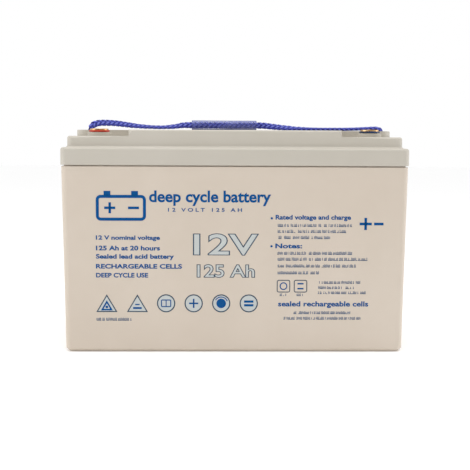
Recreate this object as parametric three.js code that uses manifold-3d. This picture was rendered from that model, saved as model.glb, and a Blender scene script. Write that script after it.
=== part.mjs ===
// A sealed 12 V deep cycle battery of 125 Ah, built as it comes apart on a bench: a container
// with six cells, their plate groups, mats and links, a lid with two stepped terminal pockets,
// a top cover that hides the vent valves and the knots of a flat blue rope handle, and the
// clear grip that slides on that rope.
// Millimetres, +Z up, +X along the battery, the printed face towards -Y, and the origin in the
// middle of the base.
import * as THREE from "three";
import { mergeVertices } from "three/addons/utils/BufferGeometryUtils.js";
import Module from "manifold-3d";

const wasm = await Module();
wasm.setup();

// Driving dimensions.
const LENGTH = 330; // over the lid's skirt
const WIDTH = 171;
const LID_TOP = 212;
const TERMINAL_TOP = 213;
const GAP = 0.3; // between pieces that touch on the real battery
const CELLS = 6;
const CELL_PITCH = 53.2;

const container = {
  overhang: 0.6, // how far the skirt stands out past the wall below it
  shoulder: 177.4, // where the wall steps in behind the skirt
  rimInset: 2.8, // from the skirt's outside to the rim's
  rimTop: 190,
  floor: 4,
  corner: 6,
  baseEdge: 3.2, // a straight chamfer round the foot
  draft: THREE.MathUtils.degToRad(0.78),
};
const cell = {
  halfLength: 25.5,
  halfWidth: 79.4,
  corner: 2,
  draft: THREE.MathUtils.degToRad(0.25),
};
const lid = {
  skirtBottom: 178.7,
  skirtTop: 195.2,
  skirtWall: 2.3,
  ledge: 190.4, // the face that meets the container's rim
  inset: 5.8, // from the skirt to the raised block
  ceiling: 202.6,
  corner: 6,
  edge: 2.4,
  topEdge: 1.6,
  cove: 2.3, // radius of the hollow where the raised block meets the skirt
  coveSteps: 3,
  wall: 4,
};
const pocket = { inner: 101, back: -20, floor: 205.9, corner: 3, outerCorner: 14 };
const cover = {
  halfLength: 155,
  halfWidth: 75.5,
  shoulder: 97,
  step: -16,
  thick: 3,
  corner: 3,
  outerCorner: 10,
};
cover.bottom = LID_TOP - 0.1 - cover.thick;
const recess = { floor: cover.bottom - GAP, play: 0.4 };
const terminal = {
  x: 131.6,
  y: -50,
  bossRadius: 11.4,
  bossTop: 209.5,
  headRadius: 8.9,
  stemRadius: 6.9,
  stemBottom: 195,
  threadRadius: 3.4, // an M8 thread
  threadBottom: 199,
  ringRadius: 10,
  ringThick: 1.7,
  holeRadius: 7.3,
};
const vent = { y: 32, wellRadius: 12, wellFloor: 196.2, pipeRadius: 5.4, pipeTop: 204.5, bore: 2.5 };
const plate = {
  positive: 3.8,
  negative: 3,
  mat: 1.6,
  halfWidth: 73,
  low: 8.5,
  high: 158,
  lugY: 48,
  lugWidth: 14,
};
const strap = { halfWidth: 11, low: 165, high: 171.5 };
const link = { z: 178.5, radius: 6, halfWidth: 10, top: 187, tab: 3 };
const knot = { x: 148, z: 201.4, radius: 6.8, neckRadius: 2.6, neckTop: 208.7 };
const chamber = { x: 147.5, radius: 8.6, wall: 2.4, floor: 194 };
const slot = { x: 145.5, halfLength: 7.5, halfWidth: 5.2 };
const grip = { x: -9.5, y: 44, length: 69, outside: 5, bore: 4.4, above: 6 };
const rope = { halfWidth: 3.3, halfThick: 1.4, steps: 56, inGrip: 5.9 };

// The rope's route from the left slot to the right one: x, y, height above the lid and the turn
// of its flat side, where 0 lies flat and 90 stands on edge.
const ropeRoute = [
  [-146, 0, 0.2, 78],
  [-145.6, 1, 2.4, 76],
  [-143.9, 2.6, 5, 70],
  [-139.4, 5.2, 6.9, 62],
  [-131.7, 9.8, 7.4, 54],
  [-120.8, 17.2, 6.9, 50],
  [-109.5, 24.6, 5.5, 40],
  [-98.5, 31, 4.3, 22],
  [-86, 36.8, 3.6, 14],
  [-74.5, 40.6, 3.5, 18],
  [-62.5, 43.2, 4.4, 34],
  [-53, grip.y, rope.inGrip - 0.1, 58],
  [-44, grip.y, rope.inGrip, 76],
  [-30, grip.y, rope.inGrip, 90],
  [-9.5, grip.y, rope.inGrip, 90],
  [10, grip.y, rope.inGrip, 90],
  [26, grip.y, rope.inGrip, 88],
  [34, grip.y, 5.6, 76],
  [43.5, 43, 4.6, 60],
  [54.5, 40.6, 3.6, 44],
  [68, 36.4, 2.8, 20],
  [86.5, 29.6, 2.2, 4],
  [104, 22.4, 2.1, 0],
  [116, 16.6, 2.1, 6],
  [128.5, 10.8, 2.4, 10],
  [139.5, 5.4, 2.9, 14],
  [146.4, 2, 3.1, 12],
  [149.9, 0.5, 2.1, 12],
  [151, 0, 0.2, 12],
];

const finish = (color, roughness, metalness = 0) =>
  new THREE.MeshStandardMaterial({ color, roughness, metalness });
const materials = {
  container: finish(0xd0c2b4, 0.55),
  lid: finish(0xc5beb0, 0.5),
  metal: finish(0xc8c2b4, 0.3, 1),
  red: finish(0xc8341c, 0.4),
  blue: finish(0x1f3d6b, 0.4),
  rope: finish(0x35369c, 0.8),
  clear: finish(0xdfe2e6, 0.1),
  rubber: finish(0x202022, 0.85),
  lead: finish(0x8b8d90, 0.5, 0.8),
  positive: finish(0x4a2f25, 0.9),
  negative: finish(0x85878a, 0.85),
  mat: finish(0xeeeeea, 0.95),
};

// Turns a closed geometry into a solid that can be cut and joined.
function solidOf(geometry) {
  const bare = geometry.index ? geometry.toNonIndexed() : geometry.clone();
  bare.deleteAttribute("normal");
  bare.deleteAttribute("uv");
  const merged = mergeVertices(bare, 1e-4);
  return new wasm.Manifold(
    new wasm.Mesh({
      numProp: 3,
      vertProperties: merged.attributes.position.array,
      triVerts: new Uint32Array(merged.index.array),
    }),
  );
}

function geometryOf(solid) {
  const { vertProperties, triVerts } = solid.asOriginal().simplify(0.001).getMesh();
  const geometry = new THREE.BufferGeometry();
  geometry.setAttribute("position", new THREE.BufferAttribute(vertProperties, 3));
  geometry.setIndex(new THREE.BufferAttribute(triVerts, 1));
  geometry.computeVertexNormals();
  return geometry;
}

const joined = (...geometries) => geometries.map(solidOf).reduce((all, next) => all.add(next));
const cutBy = (solid, ...geometries) =>
  geometries.reduce((left, geometry) => left.subtract(solidOf(geometry)), solid);

// A box with round corners in plan. Its upper and lower edges are cut back where edge is given:
// edge high, edge or edgeSize wide, and round when the cut has more than one step.
function block({
  halfLength,
  halfWidth,
  corner,
  low,
  high,
  edge = 0,
  edgeSize = edge,
  edgeSteps = 3,
  x = 0,
  y = 0,
}) {
  const outline = new THREE.Shape();
  const across = halfLength - corner;
  const along = halfWidth - corner;
  outline.absarc(across, along, corner, 0, Math.PI / 2);
  outline.absarc(-across, along, corner, Math.PI / 2, Math.PI);
  outline.absarc(-across, -along, corner, Math.PI, 1.5 * Math.PI);
  outline.absarc(across, -along, corner, 1.5 * Math.PI, 2 * Math.PI);
  const body = new THREE.ExtrudeGeometry(outline, {
    depth: high - low - 2 * edge,
    curveSegments: 3,
    bevelEnabled: edge > 0,
    bevelThickness: edge,
    bevelSize: edgeSize,
    bevelOffset: -edgeSize,
    bevelSegments: edgeSteps,
  });
  return body.translate(x, y, low + edge);
}

// A plain box between two corners.
function box([x0, y0, z0], [x1, y1, z1]) {
  const body = new THREE.BoxGeometry(x1 - x0, y1 - y0, z1 - z0);
  return body.translate((x0 + x1) / 2, (y0 + y1) / 2, (z0 + z1) / 2);
}

// An upright round bar.
function bar(radius, low, high, x = 0, y = 0, sides = 18) {
  const body = new THREE.CylinderGeometry(radius, radius, high - low, sides);
  return body.rotateX(Math.PI / 2).translate(x, y, (low + high) / 2);
}

// A profile of [radius, height] points turned about the upright axis.
function turned(profile, sides = 24) {
  const points = profile.map(([radius, height]) => new THREE.Vector2(radius, height));
  return new THREE.LatheGeometry(points, sides).rotateX(Math.PI / 2);
}

// Leans the walls in below a height, as a moulding has to for its tool.
function drafted(geometry, straightAt, angle) {
  const place = geometry.attributes.position;
  for (let i = 0; i < place.count; i += 1) {
    const inward = (straightAt - place.getZ(i)) * Math.tan(angle);
    place.setX(i, place.getX(i) - Math.sign(place.getX(i)) * inward);
    place.setY(i, place.getY(i) - Math.sign(place.getY(i)) * inward);
  }
  return geometry;
}

const cellX = (index) => (index - (CELLS - 1) / 2) * CELL_PITCH;
const partitionX = (index) => cellX(index) + CELL_PITCH / 2;
// Each cell's positive strap stands on the other side from its neighbour's, front first.
const positiveSide = (index) => (index % 2 === 0 ? -1 : 1);

function makeContainer() {
  const outside = drafted(
    block({
      halfLength: LENGTH / 2 - container.overhang,
      halfWidth: WIDTH / 2 - container.overhang,
      corner: container.corner,
      low: 0,
      high: LID_TOP,
      edge: container.baseEdge,
      edgeSteps: 1,
    }),
    container.shoulder,
    container.draft,
  );
  const belowShoulder = box([-LENGTH, -WIDTH, -1], [LENGTH, WIDTH, container.shoulder]);
  const rim = block({
    halfLength: LENGTH / 2 - container.rimInset,
    halfWidth: WIDTH / 2 - container.rimInset,
    corner: container.corner - 1.5,
    low: container.shoulder - 20,
    high: container.rimTop,
  });
  let solid = solidOf(outside).intersect(solidOf(belowShoulder)).add(solidOf(rim));
  for (let i = 0; i < CELLS; i += 1) {
    const room = block({ ...cell, low: container.floor, high: LID_TOP, x: 0 });
    solid = cutBy(solid, drafted(room, container.rimTop, cell.draft).translate(cellX(i), 0, 0));
  }
  for (let i = 0; i < CELLS - 1; i += 1) solid = cutBy(solid, linkBar(i, link.radius + GAP, 8));
  return geometryOf(solid);
}

// The level bar of a link, through the partition after a cell.
function linkBar(index, radius, length) {
  const side = -positiveSide(index);
  return new THREE.CylinderGeometry(radius, radius, length, 16)
    .rotateZ(Math.PI / 2)
    .translate(partitionX(index), side * plate.lugY, link.z);
}

// The lid's raised block, with the two terminal pockets cut out of its front corners.
function coverOutline(play, low, high) {
  const back = (cover.halfWidth - cover.step) / 2;
  const front = (cover.halfWidth + 20) / 2;
  return joined(
    block({
      halfLength: cover.halfLength + play,
      halfWidth: back + play,
      corner: cover.outerCorner + play,
      low,
      high,
      y: cover.step + back,
    }),
    block({
      halfLength: cover.shoulder + play,
      halfWidth: front + play,
      corner: cover.corner,
      low,
      high,
      y: -cover.halfWidth + front,
    }),
  );
}

// The hollow round the foot of the lid's raised block, as a stack of sloping rings.
function makeCove(halfLength, halfWidth) {
  const rings = [];
  const place = (step) => {
    const angle = (Math.PI / 2) * (step / lid.coveSteps);
    return { out: lid.cove * (1 - Math.sin(angle)), up: lid.cove * (1 - Math.cos(angle)) };
  };
  for (let step = 1; step <= lid.coveSteps; step += 1) {
    const [foot, top] = [place(step - 1), place(step)];
    rings.push(
      block({
        halfLength: halfLength + foot.out,
        halfWidth: halfWidth + foot.out,
        corner: lid.corner + foot.out,
        low: lid.ledge,
        high: lid.skirtTop + top.up,
        edge: top.up - foot.up,
        edgeSize: foot.out - top.out,
        edgeSteps: 1,
      }),
    );
  }
  return rings;
}

// Rounds the raised block's corner behind a terminal pocket.
function makePocketCorner(side) {
  const radius = pocket.outerCorner;
  const x = side * (LENGTH / 2 - lid.inset - radius);
  const [near, far] = [x, side * LENGTH].sort((a, b) => a - b);
  const square = box(
    [near, pocket.back - 1, pocket.floor],
    [far, pocket.back + radius, LID_TOP + 5],
  );
  const round = bar(radius, pocket.floor - 1, LID_TOP + 6, x, pocket.back + radius, 48);
  return cutBy(solidOf(square), round);
}

function makeLid() {
  const blockHalfLength = LENGTH / 2 - lid.inset;
  const blockHalfWidth = WIDTH / 2 - lid.inset;
  let solid = joined(
    block({
      halfLength: LENGTH / 2,
      halfWidth: WIDTH / 2,
      corner: lid.corner,
      low: lid.skirtBottom - 10,
      high: lid.skirtTop,
      edge: lid.edge,
    }),
    block({
      halfLength: blockHalfLength,
      halfWidth: blockHalfWidth,
      corner: lid.corner,
      low: lid.ledge,
      high: LID_TOP,
      edge: lid.topEdge,
    }),
    ...makeCove(blockHalfLength, blockHalfWidth),
  );
  solid = cutBy(
    solid,
    box([-LENGTH, -WIDTH, 0], [LENGTH, WIDTH, lid.skirtBottom]),
    block({
      halfLength: LENGTH / 2 - lid.skirtWall,
      halfWidth: WIDTH / 2 - lid.skirtWall,
      corner: container.corner - 1,
      low: lid.skirtBottom - 20,
      high: lid.ledge,
    }),
    block({
      halfLength: blockHalfLength - lid.wall,
      halfWidth: blockHalfWidth - lid.wall,
      corner: cell.corner,
      low: lid.ledge - 1,
      high: lid.ceiling,
    }),
  );
  const inside = [];
  for (let i = 0; i < CELLS - 1; i += 1) {
    const half = cell.corner / 2 + 0.1;
    const reach = blockHalfWidth - lid.wall / 2;
    inside.push(
      box(
        [partitionX(i) - half, -reach, lid.ledge],
        [partitionX(i) + half, reach, lid.ceiling + 1],
      ),
    );
  }
  for (let i = 0; i < CELLS; i += 1) {
    inside.push(bar(vent.wellRadius + 2, vent.wellFloor - 2.4, recess.floor - 1, cellX(i), vent.y));
  }
  for (const side of [-1, 1]) {
    const x = side * terminal.x;
    inside.push(bar(terminal.bossRadius, 193, terminal.bossTop, x, terminal.y, 28));
    inside.push(
      bar(
        chamber.radius + chamber.wall,
        chamber.floor - chamber.wall,
        recess.floor - 1,
        side * chamber.x,
      ),
    );
    solid = cutBy(
      solid,
      block({
        halfLength: 40,
        halfWidth: 40,
        corner: pocket.corner,
        low: pocket.floor,
        high: LID_TOP + 5,
        x: side * (pocket.inner + 40),
        y: pocket.back - 40,
      }),
    );
    solid = solid.subtract(makePocketCorner(side));
  }
  solid = solid.add(joined(...inside));
  solid = solid.subtract(coverOutline(recess.play, recess.floor, LID_TOP + 5));
  for (let i = 0; i < CELLS; i += 1) {
    const x = cellX(i);
    solid = cutBy(solid, bar(vent.wellRadius, vent.wellFloor, LID_TOP, x, vent.y));
    solid = solid.add(solidOf(bar(vent.pipeRadius, vent.wellFloor - 1, vent.pipeTop, x, vent.y)));
    solid = cutBy(solid, bar(vent.bore, lid.ledge - 1, LID_TOP, x, vent.y, 10));
  }
  for (const side of [-1, 1]) {
    const x = side * terminal.x;
    solid = cutBy(
      solid,
      bar(chamber.radius, chamber.floor, recess.floor + 0.5, side * chamber.x),
      bar(terminal.holeRadius, lid.ledge, LID_TOP, x, terminal.y, 24),
      bar(terminal.holeRadius + 2.3, 206.1, 208.7, x, terminal.y, 24),
    );
  }
  return geometryOf(solid);
}

function makeTopCover() {
  const solid = coverOutline(0, cover.bottom, cover.bottom + cover.thick);
  const slots = [-1, 1].map((side) =>
    block({
      ...slot,
      corner: slot.halfWidth - 0.01,
      low: cover.bottom - 1,
      high: LID_TOP + 1,
      x: side * slot.x,
    }),
  );
  return geometryOf(cutBy(solid, ...slots));
}

// The threaded insert: a round head with a blind hole, on a stem that goes down into the lid.
function makeInsert() {
  const underHead = terminal.bossTop + GAP;
  return turned([
    [0, terminal.stemBottom],
    [terminal.stemRadius, terminal.stemBottom],
    [terminal.stemRadius, underHead],
    [terminal.headRadius, underHead],
    [terminal.headRadius, TERMINAL_TOP - 0.5],
    [terminal.headRadius - 0.5, TERMINAL_TOP],
    [terminal.threadRadius + 0.7, TERMINAL_TOP],
    [terminal.threadRadius, TERMINAL_TOP - 0.7],
    [terminal.threadRadius, terminal.threadBottom],
    [0, terminal.threadBottom - 1.5],
  ]);
}

function makeTerminalRing() {
  const low = terminal.bossTop + GAP;
  const high = low + terminal.ringThick;
  const inside = terminal.headRadius + GAP;
  return turned([
    [inside, low],
    [terminal.ringRadius, low],
    [terminal.ringRadius, high - 0.4],
    [terminal.ringRadius - 0.4, high],
    [inside, high],
    [inside, low],
  ]);
}

const makeSeal = () =>
  new THREE.TorusGeometry(terminal.holeRadius + 1.05, 1.1, 6, 24).translate(0, 0, 207.4);

// The lead post that carries the end cell's strap up to the insert.
const makeRiser = () =>
  geometryOf(
    joined(
      bar(8, strap.high + GAP, strap.high + 3),
      bar(5.6, strap.high + 1, terminal.stemBottom - GAP, 0, 0, 20),
    ),
  );

// A rubber cap that seals the vent pipe until gas lifts it.
function makeValve() {
  const radius = vent.pipeRadius + 2.8;
  const bore = vent.pipeRadius + 0.35;
  const roof = vent.pipeTop + 0.4;
  return turned(
    [
      [0, roof],
      [bore, roof],
      [bore, vent.wellFloor + 0.8],
      [radius, vent.wellFloor + 0.8],
      [radius, roof + 0.4],
      [radius - 0.8, roof + 1.1],
      [0, roof + 1.1],
    ],
    16,
  );
}

// Where each plate of a cell's stack lies along X, negative plates first and last.
function stackOf() {
  const clear = plate.mat + 2 * GAP;
  const plates = [];
  let x = 0;
  for (let i = 0; i < 9; i += 1) {
    const polarity = i % 2 === 0 ? "negative" : "positive";
    plates.push({ polarity, low: x, high: x + plate[polarity] });
    x += plate[polarity] + clear;
  }
  const half = (x - clear) / 2;
  return plates.map((one) => ({ ...one, low: one.low - half, high: one.high - half }));
}
const stack = stackOf();
const stackHalf = stack[stack.length - 1].high;

// One polarity's plates, joined by a cast strap over their lugs.
function makePlates(polarity, side) {
  const y = side * plate.lugY;
  const pieces = [
    box(
      [-stackHalf, y - strap.halfWidth, strap.low],
      [stackHalf, y + strap.halfWidth, strap.high],
    ),
  ];
  for (const one of stack.filter((candidate) => candidate.polarity === polarity)) {
    pieces.push(
      box([one.low, -plate.halfWidth, plate.low], [one.high, plate.halfWidth, plate.high]),
      box(
        [one.low, y - plate.lugWidth / 2, plate.high - 1],
        [one.high, y + plate.lugWidth / 2, strap.low + 1],
      ),
    );
  }
  return geometryOf(joined(...pieces));
}

// One glass mat folded to and fro between the plates.
function makeMat() {
  const half = plate.mat / 2;
  const reach = plate.halfWidth + GAP + half;
  const middle = [];
  for (let i = 0; i < stack.length - 1; i += 1) {
    const x = stack[i].high + GAP + half;
    const side = i % 2 === 0 ? 1 : -1;
    middle.push([x, side * reach], [x, -side * reach]);
  }
  const steps = middle.slice(1).map(([x, y], i) => {
    const step = [x - middle[i][0], y - middle[i][1]];
    return [Math.sign(step[0]), Math.sign(step[1])];
  });
  const edge = (sign) =>
    middle.map(([x, y], i) => {
      const [before, after] = [steps[i - 1] ?? [0, 0], steps[i] ?? [0, 0]];
      const across = before[1] + after[1];
      const along = before[0] + after[0];
      return new THREE.Vector2(x + sign * half * across, y - sign * half * along);
    });
  const outline = new THREE.Shape([...edge(1), ...edge(-1).reverse()]);
  const body = new THREE.ExtrudeGeometry(outline, {
    depth: plate.high - plate.low + 5,
    bevelEnabled: false,
  });
  return body.translate(0, 0, plate.low - 2);
}

// A lead link welded through a partition, from one cell's negative strap to the next positive.
function makeLink(index) {
  const x = partitionX(index);
  const y = -positiveSide(index) * plate.lugY;
  const face = 1.7;
  const tab = (sign) => {
    const ends = [x + sign * face, x + sign * (face + link.tab)].sort((a, b) => a - b);
    return box(
      [ends[0], y - link.halfWidth, strap.high + GAP],
      [ends[1], y + link.halfWidth, link.top],
    );
  };
  return geometryOf(
    joined(tab(-1), tab(1), linkBar(index, link.radius, 2 * face + link.tab)),
  );
}

function makeKnot() {
  const points = [[0, knot.z - knot.radius]];
  for (let turn = -60; turn <= 60; turn += 20) {
    const angle = THREE.MathUtils.degToRad(turn);
    points.push([knot.radius * Math.cos(angle), knot.z + knot.radius * Math.sin(angle)]);
  }
  points.push([knot.neckRadius, knot.z + knot.radius], [knot.neckRadius, knot.neckTop]);
  points.push([0, knot.neckTop]);
  return turned(points, 16);
}

// The rope's curve, whose flat section turns with the angles of the route.
class RopeCurve extends THREE.CatmullRomCurve3 {
  constructor(route) {
    super(route.map(([x, y, above]) => new THREE.Vector3(x, y, LID_TOP + above)));
    this.turns = route.map((row) => THREE.MathUtils.degToRad(row[3]));
  }

  turnAt(u) {
    const place = this.getUtoTmapping(u) * (this.turns.length - 1);
    const before = Math.min(Math.floor(place), this.turns.length - 2);
    return THREE.MathUtils.lerp(this.turns[before], this.turns[before + 1], place - before);
  }

  computeFrenetFrames(segments) {
    const up = new THREE.Vector3(0, 0, 1);
    const frames = { tangents: [], normals: [], binormals: [] };
    for (let i = 0; i <= segments; i += 1) {
      const tangent = this.getTangentAt(i / segments);
      const level = new THREE.Vector3().crossVectors(up, tangent).normalize();
      const width = level.applyAxisAngle(tangent, this.turnAt(i / segments));
      frames.tangents.push(tangent);
      frames.normals.push(width);
      frames.binormals.push(new THREE.Vector3().crossVectors(tangent, width));
    }
    return frames;
  }
}

function makeRope() {
  const section = new THREE.Shape();
  section.absellipse(0, 0, rope.halfWidth, rope.halfThick, 0, 2 * Math.PI);
  return new THREE.ExtrudeGeometry(section, {
    steps: rope.steps,
    curveSegments: 5,
    extrudePath: new RopeCurve(ropeRoute),
  });
}

function makeGrip() {
  const ring = new THREE.Shape().absarc(0, 0, grip.outside, 0, 2 * Math.PI);
  ring.holes.push(new THREE.Path().absarc(0, 0, grip.bore, 0, 2 * Math.PI));
  const tube = new THREE.ExtrudeGeometry(ring, {
    depth: grip.length,
    curveSegments: 12,
    bevelEnabled: false,
  });
  return tube
    .translate(0, 0, -grip.length / 2)
    .rotateY(Math.PI / 2)
    .translate(grip.x, grip.y, LID_TOP + grip.above);
}

const battery = new THREE.Group();

function add(name, geometry, material, x = 0, y = 0, parent = battery) {
  const mesh = new THREE.Mesh(geometry, material);
  mesh.name = name;
  mesh.position.set(x, y, 0);
  parent.add(mesh);
}

add("container", makeContainer(), materials.container);
add("lid", makeLid(), materials.lid);
add("top_cover", makeTopCover(), materials.lid);

const plateGroups = {
  positive: { "-1": makePlates("positive", -1), 1: makePlates("positive", 1) },
  negative: { "-1": makePlates("negative", -1), 1: makePlates("negative", 1) },
};
const mat = makeMat();
const valve = makeValve();
for (let i = 0; i < CELLS; i += 1) {
  const side = positiveSide(i);
  const number = i + 1;
  add(`positive_plates_${number}`, plateGroups.positive[side], materials.positive, cellX(i));
  add(`negative_plates_${number}`, plateGroups.negative[-side], materials.negative, cellX(i));
  add(`glass_mat_${number}`, mat, materials.mat, cellX(i));
  add(`vent_valve_${number}`, valve, materials.rubber, cellX(i), vent.y);
}
for (let i = 0; i < CELLS - 1; i += 1) add(`cell_link_${i + 1}`, makeLink(i), materials.lead);

for (const [pole, side, colour] of [
  ["positive", -1, materials.red],
  ["negative", 1, materials.blue],
]) {
  const x = side * terminal.x;
  add(`${pole}_insert`, makeInsert(), materials.metal, x, terminal.y);
  add(`${pole}_ring`, makeTerminalRing(), colour, x, terminal.y);
  add(`${pole}_seal`, makeSeal(), materials.rubber, x, terminal.y);
  add(`${pole}_riser`, makeRiser(), materials.lead, x, terminal.y);
}

add("rope", makeRope(), materials.rope);
add("grip", makeGrip(), materials.clear);
add("left_knot", makeKnot(), materials.rope, -knot.x);
add("right_knot", makeKnot(), materials.rope, knot.x);

export default battery;
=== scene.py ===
import math
import random

import bmesh
import bpy
from mathutils import Matrix, Vector


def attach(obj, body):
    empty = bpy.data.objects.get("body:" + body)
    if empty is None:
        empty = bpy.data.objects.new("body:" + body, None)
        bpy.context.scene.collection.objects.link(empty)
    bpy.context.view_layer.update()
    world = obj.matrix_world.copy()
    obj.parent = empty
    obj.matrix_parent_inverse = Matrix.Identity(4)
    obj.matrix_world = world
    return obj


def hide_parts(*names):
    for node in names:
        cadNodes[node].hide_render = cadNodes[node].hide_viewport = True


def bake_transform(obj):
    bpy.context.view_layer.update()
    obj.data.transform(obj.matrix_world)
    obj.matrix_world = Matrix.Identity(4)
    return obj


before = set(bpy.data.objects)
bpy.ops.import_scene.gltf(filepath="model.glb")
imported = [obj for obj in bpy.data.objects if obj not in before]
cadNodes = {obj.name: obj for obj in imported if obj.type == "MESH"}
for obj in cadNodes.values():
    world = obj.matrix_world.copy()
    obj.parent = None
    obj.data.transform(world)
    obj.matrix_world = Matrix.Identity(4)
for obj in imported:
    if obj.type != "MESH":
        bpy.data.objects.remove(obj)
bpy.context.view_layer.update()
mm = 0.001
print("frame loaded:", len(cadNodes), "CAD nodes")


# small helpers used all over

def ink(red, green, blue):
    # a colour as a paint chart gives it, turned into the linear light that shaders take
    def light(c):
        c /= 255
        return c / 12.92 if c <= 0.04045 else ((c + 0.055) / 1.055) ** 2.4
    return (light(red), light(green), light(blue), 1)


def toObject(name, data):
    piece = bpy.data.objects.new(name, data)
    bpy.context.scene.collection.objects.link(piece)
    return piece


def fromBmesh(name, bm):
    mesh = bpy.data.meshes.new(name)
    bm.to_mesh(mesh)
    bm.free()
    return toObject(name, mesh)


def applied(piece):
    # swaps the piece's mesh for its evaluated one and takes the modifiers off
    graph = bpy.context.evaluated_depsgraph_get()
    baked = bpy.data.meshes.new_from_object(piece.evaluated_get(graph))
    piece.modifiers.clear()
    old = piece.data
    baked.name = piece.name
    piece.data = baked
    bpy.data.meshes.remove(old)
    return piece


def smoothed(piece, angle):
    piece.data.shade_smooth()
    piece.data.set_sharp_from_angle(angle=math.radians(angle))
    return piece


def finished(piece, body, material, nodes=()):
    piece.data.materials.clear()
    piece.data.materials.append(material)
    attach(piece, body)
    if nodes:
        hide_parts(*nodes)


camera = {
    "place": (-0.01915, -0.9945, 0.2047),
    "yaw": 1.204,
    "pitch": 5.757,
    "roll": 0.287,
    "lens": 73.85,
}


def makeCamera(c):
    yaw, pitch, roll = (math.radians(c[k]) for k in ("yaw", "pitch", "roll"))
    ahead = Vector((math.sin(yaw), math.cos(yaw), 0))
    right = Vector((math.cos(yaw), -math.sin(yaw), 0))
    up = Vector((0, 0, 1))
    forward = ahead * math.cos(pitch) - up * math.sin(pitch)
    above = up * math.cos(pitch) + ahead * math.sin(pitch)
    side = right * math.cos(roll) + above * math.sin(roll)
    top = above * math.cos(roll) - right * math.sin(roll)
    data = bpy.data.cameras.new("camera")
    data.lens = c["lens"]
    data.sensor_width = 36
    eye = toObject("camera", data)
    turn = Matrix((side, top, -forward)).transposed().to_4x4()
    eye.matrix_world = Matrix.Translation(c["place"]) @ turn
    bpy.context.scene.camera = eye


makeCamera(camera)


def plug(node, values):
    # wires sockets in and sets anything else as it is
    for key, value in values.items():
        if isinstance(value, bpy.types.NodeSocket):
            node.id_data.links.new(value, node.inputs[key])
        else:
            node.inputs[key].default_value = value


def addNode(tree, kind, values=None, **settings):
    node = tree.nodes.new(kind)
    for key, value in settings.items():
        setattr(node, key, value)
    plug(node, values or {})
    return node


def newMaterial(name):
    material = bpy.data.materials.new(name)
    material.use_nodes = True
    tree = material.node_tree
    return material, tree, tree.nodes["Principled BSDF"]


def placeIn(tree, space):
    return addNode(tree, "ShaderNodeTexCoord").outputs[space]


def maths(tree, operation, *values, **settings):
    box = addNode(
        tree, "ShaderNodeMath", dict(enumerate(values)), operation=operation, **settings
    )
    return box.outputs[0]


def noiseOf(tree, place, scale, detail, roughness, stretch=None):
    if stretch:
        mapping = addNode(tree, "ShaderNodeMapping", {"Vector": place, "Scale": stretch})
        place = mapping.outputs["Vector"]
    values = {"Vector": place, "Scale": scale, "Detail": detail, "Roughness": roughness}
    return addNode(tree, "ShaderNodeTexNoise", values).outputs["Fac"]


def ramp(tree, factor, stops):
    node = addNode(tree, "ShaderNodeValToRGB", {"Fac": factor})
    elements = node.color_ramp.elements
    for i, (at, colour) in enumerate(stops):
        stop = elements[i] if i < 2 else elements.new(at)
        stop.position = at
        stop.color = colour
    return node.outputs["Color"]


def ranged(tree, factor, low, high, fromLow=0.3, fromHigh=0.7):
    # a noise mostly stays between 0.3 and 0.7, which this spreads over a range of its own
    node = addNode(tree, "ShaderNodeMapRange", {
        "Value": factor, "From Min": fromLow, "From Max": fromHigh, "To Min": low, "To Max": high,
    })
    return node.outputs["Result"]


def mixed(tree, factor, a, b):
    return addNode(tree, "ShaderNodeMix", {0: factor, 6: a, 7: b}, data_type="RGBA").outputs[2]


def bumped(tree, shader, height, distance, strength, before=None):
    # raises the surface by a noise, over an earlier bump where one is given
    values = {"Height": height, "Distance": distance, "Strength": strength}
    if before:
        values["Normal"] = before
    normal = addNode(tree, "ShaderNodeBump", values).outputs["Normal"]
    plug(shader, {"Normal": normal})
    return normal


def mouldedPlastic(name, light, dark, roughness):
    # ABS with a fine spark-eroded grain, faint flow clouds and a few rubbed patches
    material, tree, shader = newMaterial(name)
    place = placeIn(tree, "Object")
    clouds = noiseOf(tree, place, 9, 4, 0.6)
    speckle = noiseOf(tree, place, 2600, 2, 0.5)
    rubbed = noiseOf(tree, place, 46, 6, 0.7, (1, 1, 2.6))
    body = ramp(tree, clouds, [(0.32, dark), (0.68, light)])
    plug(shader, {
        "Base Color": mixed(tree, ranged(tree, speckle, 0, 0.1), body, dark),
        "Roughness": ranged(tree, rubbed, roughness - 0.07, roughness + 0.07),
        "IOR": 1.52,
    })
    grain = bumped(tree, shader, speckle, 0.00004, 0.7)
    bumped(tree, shader, rubbed, 0.00008, 0.35, grain)
    return material


def screenInk(name, colour, worn):
    # ink that the screen's mesh has left a little uneven, thinner in patches
    material, tree, shader = newMaterial(name)
    place = placeIn(tree, "Object")
    mesh = noiseOf(tree, place, 3800, 2, 0.6)
    thin = noiseOf(tree, place, 120, 5, 0.65)
    body = mixed(tree, ranged(tree, thin, 0, 0.55, 0.45, 0.8), colour, worn)
    plug(shader, {
        "Base Color": mixed(tree, ranged(tree, mesh, 0, 0.3, 0.5, 0.8), body, worn),
        "Roughness": ranged(tree, thin, 0.36, 0.52),
        "Specular IOR Level": 0.12,
    })
    bumped(tree, shader, mesh, 0.00002, 0.6)
    return material


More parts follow.
